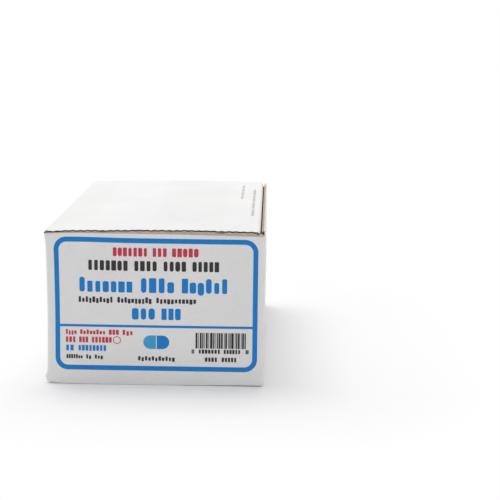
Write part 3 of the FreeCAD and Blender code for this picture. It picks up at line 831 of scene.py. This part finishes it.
def closure(level, up, halfPanel):
    # A closing panel with its tuck fold and flap, the lid with up = 1 and the bottom with -1.
    panel = [(closing["hingeX"], level), (closing["panelEnd"], level)]
    tip = (closing["tuckX"] - closing["tuckLean"], level - up * closing["tuckDrop"])
    tuck = [(closing["panelEnd"], level), (closing["tuckX"], level), tip]

    def narrowed(path):
        # The fold is as wide as the panel. The flap is narrower, and a chamfer takes its tip.
        toTip = np.linalg.norm(path - np.array(tip), axis=1)
        below = ramp(up * (level - path[:, 1]), *closing["tuckNarrows"])
        half = halfPanel + (closing["tuckHalfDepth"] - halfPanel) * below
        half = half - np.clip(closing["tipChamfer"] - toTip, 0, None)
        return -half, half

    ends = (-halfPanel, halfPanel)
    flat = boardLayers(panel[::up], 1.0, lambda path: ends, frontSection, crushed=True)
    bent = boardLayers(tuck[::up], closing["tuckRadius"], narrowed, frontSection, crushed=True)
    return together([flat, bent])


def makeLayers(name, layers, move, body=None, wearAndShade=None):
    # Board as three pieces. Where it rides on a body, the white one replaces that body's solid.
    looks = (
        ("white_liner", whiteLiner, "white_board", name, wearAndShade),
        ("brown_liner", brownLiner, None, None, frayedEdges),
        ("medium", fluting, None, None, frayedEdges),
    )
    pieces = []
    for parts, (layer, material, slotName, node, share) in zip(layers, looks):
        marks = (slotName, node) if body else (None, None)
        pieces.append(makePiece(f"{name}_{layer}", parts, material, move, body, *marks, share))
    return pieces


def makeCarton():
    # Walls, dust flaps and the closed bottom, joined layer by layer.
    liner, thick = board["liner"], board["thickness"]
    pinch = crush["pinch"]
    white, brown, medium = makeDustFlaps()
    skin = (wallSheet(depth, skinLevels, 1, pinch) for depth in (0, liner))
    lining = (wallSheet(depth, liningLevels, 0, -pinch) for depth in (thick - liner, thick))
    white.append(slab(*skin))
    brown.append(slab(*lining))
    # the medium shows only at the raw edges of the walls
    reach = halfDepth - board["cornerRadius"]
    (lowEdge, highEdge), leftLevels = skinLevels["right"], skinLevels["left"]
    inset, band = wall["edgeInset"], wall["edgeBand"]
    before, behind = wall["sideBand"]
    for x, levels, near, far in (
        (halfWidth, (highEdge - inset, highEdge - band), -reach, reach),
        (halfWidth, (lowEdge + band, lowEdge + inset), -reach, reach),
        (-halfWidth, leftLevels, reach - before, reach + behind),
    ):
        corners = [(x, level) for level in levels]
        between = boardLayers(corners, 1.0, lambda path: (near, far), frontSection)[2]
        medium.append(between)
    bottom = closure(0.0, -1, closing["bottomHalfDepth"])
    fold = [(closing["hingeX"], 0.0), (-halfWidth, 0.0), (-halfWidth, board["hingeRadius"])]
    radius, ends = closing["bottomFoldRadius"], (-reach, reach)
    bend = boardLayers(fold, radius, lambda path: ends, frontSection, False, filled=True)
    for group, extra, between in zip((white, brown, medium), bottom, bend):
        group += extra + [between]
    # the white layer's upper folds take the worn colour, partly as painted shade under the lid's
    # edge
    makeLayers("carton", (white, brown, medium), settle, "carton", wornAndShadedFolds)


def makeLid():
    # The lid with its tuck flap, and the fold that joins it to the left wall.
    makeLayers("lid", closure(boxHeight, 1, closing["panelHalfDepth"]), settleLid, "lid")
    # the fold between the left wall and the lid
    radius, reach = board["hingeRadius"], closing["panelHalfDepth"]
    corners = [
        (-halfWidth, boxHeight - radius - closing["hingeOverlap"]),
        (-halfWidth, boxHeight),
        (closing["hingeX"] + closing["hingeOverlap"], boxHeight),
    ]
    layers = []
    for k, inset in enumerate(closing["hingeInset"]):
        ends = (inset - reach, reach - inset)
        strip = boardLayers(corners, radius, lambda path: ends, frontSection, False, filled=True)
        layers.append([strip[k]])
    depths = (0.0, board["thickness"], board["thickness"] / 2)
    for fold, depth in zip(makeLayers("hinge", layers, settleLid), depths):
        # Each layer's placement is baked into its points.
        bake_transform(fold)


label = {
    "left": float(labelLow[0]),
    "right": float(labelHigh[0]) + 0.3,
    "low": float(labelLow[2]) - 0.15,
    "high": float(labelHigh[2]),
    "line": 2.0,
    "corner": 5.3,
    "ruleLow": 24.45,
    "ruleLine": 1.0,
    "ink": 0.06,
    "seed": 7,
}
# Lines of print, as an ink, words given by shares of the label's inner width, the line's middle
# and height as shares of the field above or below the rule, whether its blocks vary in height,
# and a block's width over the line's height.
upperLines = [
    ("red", [(0.277, 0.460), (0.480, 0.560), (0.580, 0.722)], 0.891, 0.105, False, 0.62),
    ("black", [(0.148, 0.36), (0.385, 0.51), (0.535, 0.66), (0.685, 0.828)],
     0.724, 0.122, False, 0.60),
    ("blue", [(0.100, 0.385), (0.415, 0.600), (0.630, 0.875)], 0.489, 0.180, True, 0.54),
    ("black", [(0.099, 0.280), (0.300, 0.480), (0.500, 0.710)], 0.308, 0.070, True, 0.62),
    ("blue", [(0.373, 0.500), (0.525, 0.632)], 0.139, 0.140, False, 0.66),
]
lowerLines = [
    ("red", [(0.029, 0.090), (0.105, 0.240), (0.255, 0.310), (0.325, 0.383)],
     0.867, 0.130, True, 0.62),
    ("red", [(0.028, 0.085), (0.100, 0.150), (0.165, 0.273)], 0.666, 0.150, False, 0.62),
    ("blue", [(0.028, 0.075), (0.095, 0.244)], 0.449, 0.150, False, 0.62),
    ("black", [(0.032, 0.120), (0.135, 0.165), (0.180, 0.226)], 0.225, 0.106, True, 0.62),
    ("black", [(0.405, 0.600)], 0.200, 0.120, True, 0.75),
    ("black", [(0.685, 0.70), (0.72, 0.835), (0.85, 0.94), (0.965, 0.982)], 0.4, 0.11, False, 0.7),
    ("black", [(0.753, 0.820), (0.840, 0.920)], 0.191, 0.120, False, 0.66),
]
barCode = {"left": 0.706, "right": 0.966, "low": 0.480, "high": 0.886, "rounding": 0.02}
barWidths = [3, 1, 3, 2, 1, 3, 1, 4, 2, 1, 2, 3, 3, 1, 3, 1, 2, 4, 1, 2, 3, 1, 3, 2]
barGaps = [1, 2, 1, 1, 2, 1, 2, 1, 1, 2, 1, 1, 2, 1, 2, 1, 1, 2, 1, 1, 2, 1, 1]
sign = {"left": 0.435, "right": 0.570, "low": 0.450, "high": 0.800}
capsule = {"seam": 0.18, "roundness": 0.98}  # half the seam's width, share of the end's turn
ring = {"x": -15.5, "z": 19.0, "radius": 1.6, "line": 0.3}
block = {
    "width": (0.58, 0.82),  # least and greatest share of its cell
    "lower": 0.26,  # shares of the line's height
    "deeper": 0.14,
    "roundings": (0.14, 0.3, 0.48),
}
# Two faint lines on the lid: from, to, and a block's width over the line's height.
lidLines = {
    "height": 1.2,
    "rows": ((lidPrintLow[1], 45.7, 0.55), (12.5, lidPrintHigh[1], 0.6)),
    "words": 4,
    "space": 2.0,
}


def onFront(u, v, raised):
    # Places on the front wall: x and height, raised towards the front.
    return np.stack([u, np.full_like(u, -halfDepth) - raised, v], -1)


def onLid(u, v, raised):
    # Lines on the lid run along its depth.
    return np.stack([v, u, np.full_like(u, boxHeight) + raised], -1)


def inkSlab(u, v, closed=False):
    # A band of ink on the front wall over a grid of places.
    return slab(onFront(u, v, label["ink"]), onFront(u, v, 0.0), closed)


def wordBlocks(left, right, low, high, varied, ratio, random):
    # A word as upright blocks, each part of its cell wide. In a varied line some are lower and
    # some reach below the line. Gives left, right, low, high and the corner's share of the width.
    tall = high - low
    count = max(2, round((right - left) / (ratio * tall)))
    cell = (right - left) / count
    start = left + cell * np.arange(count)
    width = cell * random.uniform(*block["width"], count)
    shift = (cell - width) * 0.5
    bottom, top = np.full(count, low), np.full(count, high)
    if varied:
        kind = random.integers(0, 5, count)
        kind[0] = 0
        top = np.where(kind >= 2, high - block["lower"] * tall, high)
        bottom = np.where(kind == 4, low - block["deeper"] * tall, low)
    rounding = random.choice(block["roundings"], count)
    return np.stack([start + shift, start + shift + width, bottom, top, rounding], -1)


def blockParts(blocks, surface):
    # Rounded blocks of ink: each outline is four quarter circles about its corners' centres,
    # joined to its own middle line, so that it is a grid of left and right halves.
    left, right, low, high, rounding = np.asarray(blocks, float).T[..., None]
    radius = rounding * np.minimum(right - left, high - low)
    quarter = np.radians(np.linspace(-90, 0, 4))
    x = right - radius + radius * np.cos(quarter)
    x = np.concatenate([x, x[:, ::-1]], 1)
    rising = radius * np.sin(quarter)
    z = np.concatenate([low + radius + rising, high - radius - rising[:, ::-1]], 1)
    u = np.stack([x, left + right - x], -1)
    v = np.stack([z, z], -1)
    return [slab(surface(a, b, label["ink"]), surface(a, b, 0.0)) for a, b in zip(u, v)]


def frameBand():
    # The label's frame: a band between two rounded rectangles a line apart.
    def loop(inset):
        # the rectangle this far inside the frame's outer edge, from the middle of its lower side
        left, right = label["left"] + inset, label["right"] - inset
        low, high = label["low"] + inset, label["high"] - inset
        middle = ((left + right) / 2, low)
        corners = [middle, (right, low), (right, high), (left, high), (left, low), middle]
        return bentPath(corners, label["corner"] - inset, [12, 16, 24, 16, 12], 14)[0][:-1]

    flat = np.stack([loop(inset) for inset in (0, label["line"] / 2, label["line"])], 1)
    return inkSlab(flat[..., 0], flat[..., 1], True)


def halfCapsule(left, right, low, high, side):
    # One half of a capsule: straight from the seam, then widths that follow a circle.
    radius = (high - low) / 2
    angle = np.linspace(0, math.pi / 2 * capsule["roundness"], 9)
    end = (right - left) / 2 - radius + radius * np.sin(angle)
    along = np.concatenate([[capsule["seam"]], end])
    half = np.concatenate([[radius], radius * np.cos(angle)])
    v = (low + high) / 2 + half[:, None] * np.linspace(-1, 1, 5)[None]
    u = np.broadcast_to((left + right) / 2 + side * along[:, None], v.shape)
    return inkSlab(u, v)


def makePrint():
    # The label's frame, rule, lines of blocks, bar code and sign, and two lines on the lid.
    line = label["line"]
    left, right = label["left"] + line, label["right"] - line
    ruleTop = label["ruleLow"] + label["ruleLine"]
    fields = ((ruleTop, label["high"] - line), (label["low"] + line, label["ruleLow"]))

    def place(field, start, stop, bottom, top):
        # shares of a field's width and height as places on the wall
        low, high = fields[field]
        width, tall = right - left, high - low
        return left + start * width, left + stop * width, low + bottom * tall, low + top * tall

    random = np.random.default_rng(label["seed"])
    blocks = {"red": [], "black": [], "blue": []}
    for field, lines in enumerate((upperLines, lowerLines)):
        for colour, words, middle, tall, varied, ratio in lines:
            for start, stop in words:
                edges = place(field, start, stop, middle - tall / 2, middle + tall / 2)
                blocks[colour].append(wordBlocks(*edges, varied, ratio, random))
    parts = {name: blockParts(np.concatenate(rows), onFront) for name, rows in blocks.items()}
    # the bar code alternates bars and gaps, both in whole modules
    module = (barCode["right"] - barCode["left"]) / (sum(barWidths) + sum(barGaps))
    starts = np.cumsum([0] + [bar + gap for bar, gap in zip(barWidths, barGaps)])
    starts = starts * module + barCode["left"]
    low, high, rounding = (barCode[name] for name in ("low", "high", "rounding"))
    bars = [
        (*place(1, start, start + width * module, low, high), rounding)
        for start, width in zip(starts, barWidths)
    ]
    parts["black"] += blockParts(bars, onFront)
    u, v = np.meshgrid(np.linspace(left, right, 28), [label["ruleLow"], ruleTop], indexing="ij")
    edges = place(1, sign["left"], sign["right"], sign["low"], sign["high"])
    parts["blue"] += [frameBand(), inkSlab(u, v), halfCapsule(*edges, 1)]
    turn = np.linspace(0, 2 * math.pi, 33)[:-1, None]
    reach = ring["radius"] - np.array([0, ring["line"]])[None]
    u, v = ring["x"] + reach * np.cos(turn), ring["z"] + reach * np.sin(turn)
    parts["red"].append(inkSlab(u, v, True))
    parts["sky"] = [halfCapsule(*edges, -1)]
    for name, material, slotName, node in (
        ("blue", blueInk, "blue_ink", "print_blue"),
        ("sky", skyInk, "blue_ink", None),
        ("red", redInk, "red_ink", "print_red"),
        ("black", blackInk, "black_ink", "print_black"),
    ):
        makePiece(f"print_{name}_ink", parts[name], material, settle, "carton", slotName, node)
    tall, rows = lidLines["height"], []
    for (near, far, ratio), low in zip(lidLines["rows"], (lidPrintHigh[0] - tall, lidPrintLow[0])):
        stops = np.linspace(near, far, lidLines["words"] + 1)
        for start, stop in zip(stops[:-1], stops[1:] - lidLines["space"]):
            rows.append(wordBlocks(start, stop, low, low + tall, False, ratio, random))
    faint = blockParts(np.concatenate(rows), onLid)
    makePiece("print_lid_ink", faint, greyInk, settleLid, "lid", "grey_ink", "print_lid")


studio = {
    "floorReach": 3000.0,  # before and behind the middle
    "floorSpan": 4000.0,  # to both sides, and upwards
    "floorBend": 1500.0,
    "floorColour": "#fbfbfb",
    "nearGlow": 0.03,  # share of plain white seen on the floor beside the box
    "glowReach": 80.0,  # distance at which the floor is seen as plain white
    "glowShift": 14.0,  # to the right, so that the left side is lighter
    "worldLight": 0.58,
    "keyPower": 5.2,
    "keySize": 0.9,
    "keyPlace": (-0.15, 0.25, 0.95),
    "keyAim": (0.0, 0.0, 0.03),
}
viewpoint = {
    "place": (46.29, -587.64, 156.08),
    "yaw": -0.869,
    "pitch": 10.864,
    "roll": 0.699,
    "focalShare": 2.6,  # focal length over the picture's width
}


def seenDirectly(tree):
    # 1 for rays from the camera, off a glossy surface or through a clear one, otherwise 0.
    path = addNode(tree, "LightPath")
    seen = path.outputs["Is Camera Ray"]
    for name in ("Is Glossy Ray", "Is Transmission Ray"):
        inputs = {0: seen, 1: path.outputs[name]}
        seen = addNode(tree, "Math", inputs, operation="MAXIMUM").outputs["Value"]
    return seen


def makeStage():
    # A flat floor that curves up far behind, as a profile swept sideways. It is painted almost
    # white, and seen as plain white from a little way off the box.
    reach, span = studio["floorReach"], studio["floorSpan"]
    corners = [(-reach, 0.0), (reach, 0.0), (reach, span)]
    curve = bentPath(corners, studio["floorBend"], [2, 2], 16)[0]
    points = spread(curve, -span, span, np.linspace(0, 1, 3), sideSection)
    faces = gridQuads(*points.shape[:2])[:, ::-1]
    colour = linear(studio["floorColour"])
    material, tree, shader, distance, _ = newMaterial(
        "paintedSweep", Base_Color=colour, Roughness=0.9
    )
    # how far each place lies outside the box's outline, moved to the right
    for operation, other in (
        ("SUBTRACT", (studio["glowShift"] * metre, 0, 0)),
        ("ABSOLUTE", (0, 0, 0)),
        ("SUBTRACT", (halfWidth * metre, halfDepth * metre, 0)),
        ("MAXIMUM", (0, 0, 0)),
    ):
        inputs = {0: distance, 1: other}
        distance = addNode(tree, "VectorMath", inputs, operation=operation).outputs[0]
    distance = addNode(tree, "VectorMath", {0: distance}, operation="LENGTH").outputs["Value"]
    far = studio["glowReach"] * metre
    inputs = {"Value": distance, "From Max": far, "To Min": studio["nearGlow"]}
    share = addNode(tree, "MapRange", inputs).outputs["Result"]
    inputs = {0: share, 1: seenDirectly(tree)}
    share = addNode(tree, "Math", inputs, operation="MULTIPLY").outputs["Value"]
    glow = addNode(tree, "Emission", {"Color": (1, 1, 1, 1), "Strength": 1.0})
    inputs = {0: share, 1: shader.outputs["BSDF"], 2: glow.outputs["Emission"]}
    mix = addNode(tree, "MixShader", inputs)
    tree.links.new(mix.outputs["Shader"], tree.nodes["Material Output"].inputs["Surface"])
    floor = newObject("floor", newMesh("floor", points.reshape(-1, 3), faces, material))


def makeLights():
    # An even white world, seen at full strength, and one large soft lamp above and behind.
    world = bpy.data.worlds.new("studio")
    world.use_nodes = True
    tree = world.node_tree
    inputs = {"Value": seenDirectly(tree), "To Min": studio["worldLight"]}
    strength = addNode(tree, "MapRange", inputs).outputs["Result"]
    background = tree.nodes["Background"]
    background.inputs["Color"].default_value = (1, 1, 1, 1)
    tree.links.new(strength, background.inputs["Strength"])
    bpy.context.scene.world = world
    lamp = bpy.data.lights.new("softbox", "AREA")
    lamp.shape = "DISK"
    lamp.size = studio["keySize"]
    lamp.energy = studio["keyPower"]
    softbox = newObject("softbox", lamp)
    softbox.location = studio["keyPlace"]
    aim = Vector(studio["keyAim"]) - Vector(studio["keyPlace"])
    softbox.rotation_euler = aim.to_track_quat("-Z", "Y").to_euler()


def makeCamera():
    # Rolled about its own axis, raised from looking down to the pitch, then turned by the yaw.
    yaw, pitch, roll = (math.radians(viewpoint[name]) for name in ("yaw", "pitch", "roll"))
    lens = bpy.data.cameras.new("camera")
    lens.sensor_width = 36.0
    lens.lens = viewpoint["focalShare"] * lens.sensor_width
    camera = newObject("camera", lens)
    place = Matrix.Translation(Vector(viewpoint["place"]) * metre)
    for angle, axis in ((-yaw, "Z"), (math.pi / 2 - pitch, "X"), (roll, "Z")):
        place = place @ Matrix.Rotation(angle, 4, axis)
    camera.matrix_world = place
    bpy.context.scene.camera = camera


print("carton")
makeCarton()
print("lid")
makeLid()
print("print")
makePrint()
print("cards")
makeCards()
print("floor, lights and camera")
makeStage()
makeLights()
makeCamera()
bpy.context.scene.view_settings.view_transform = "Standard"
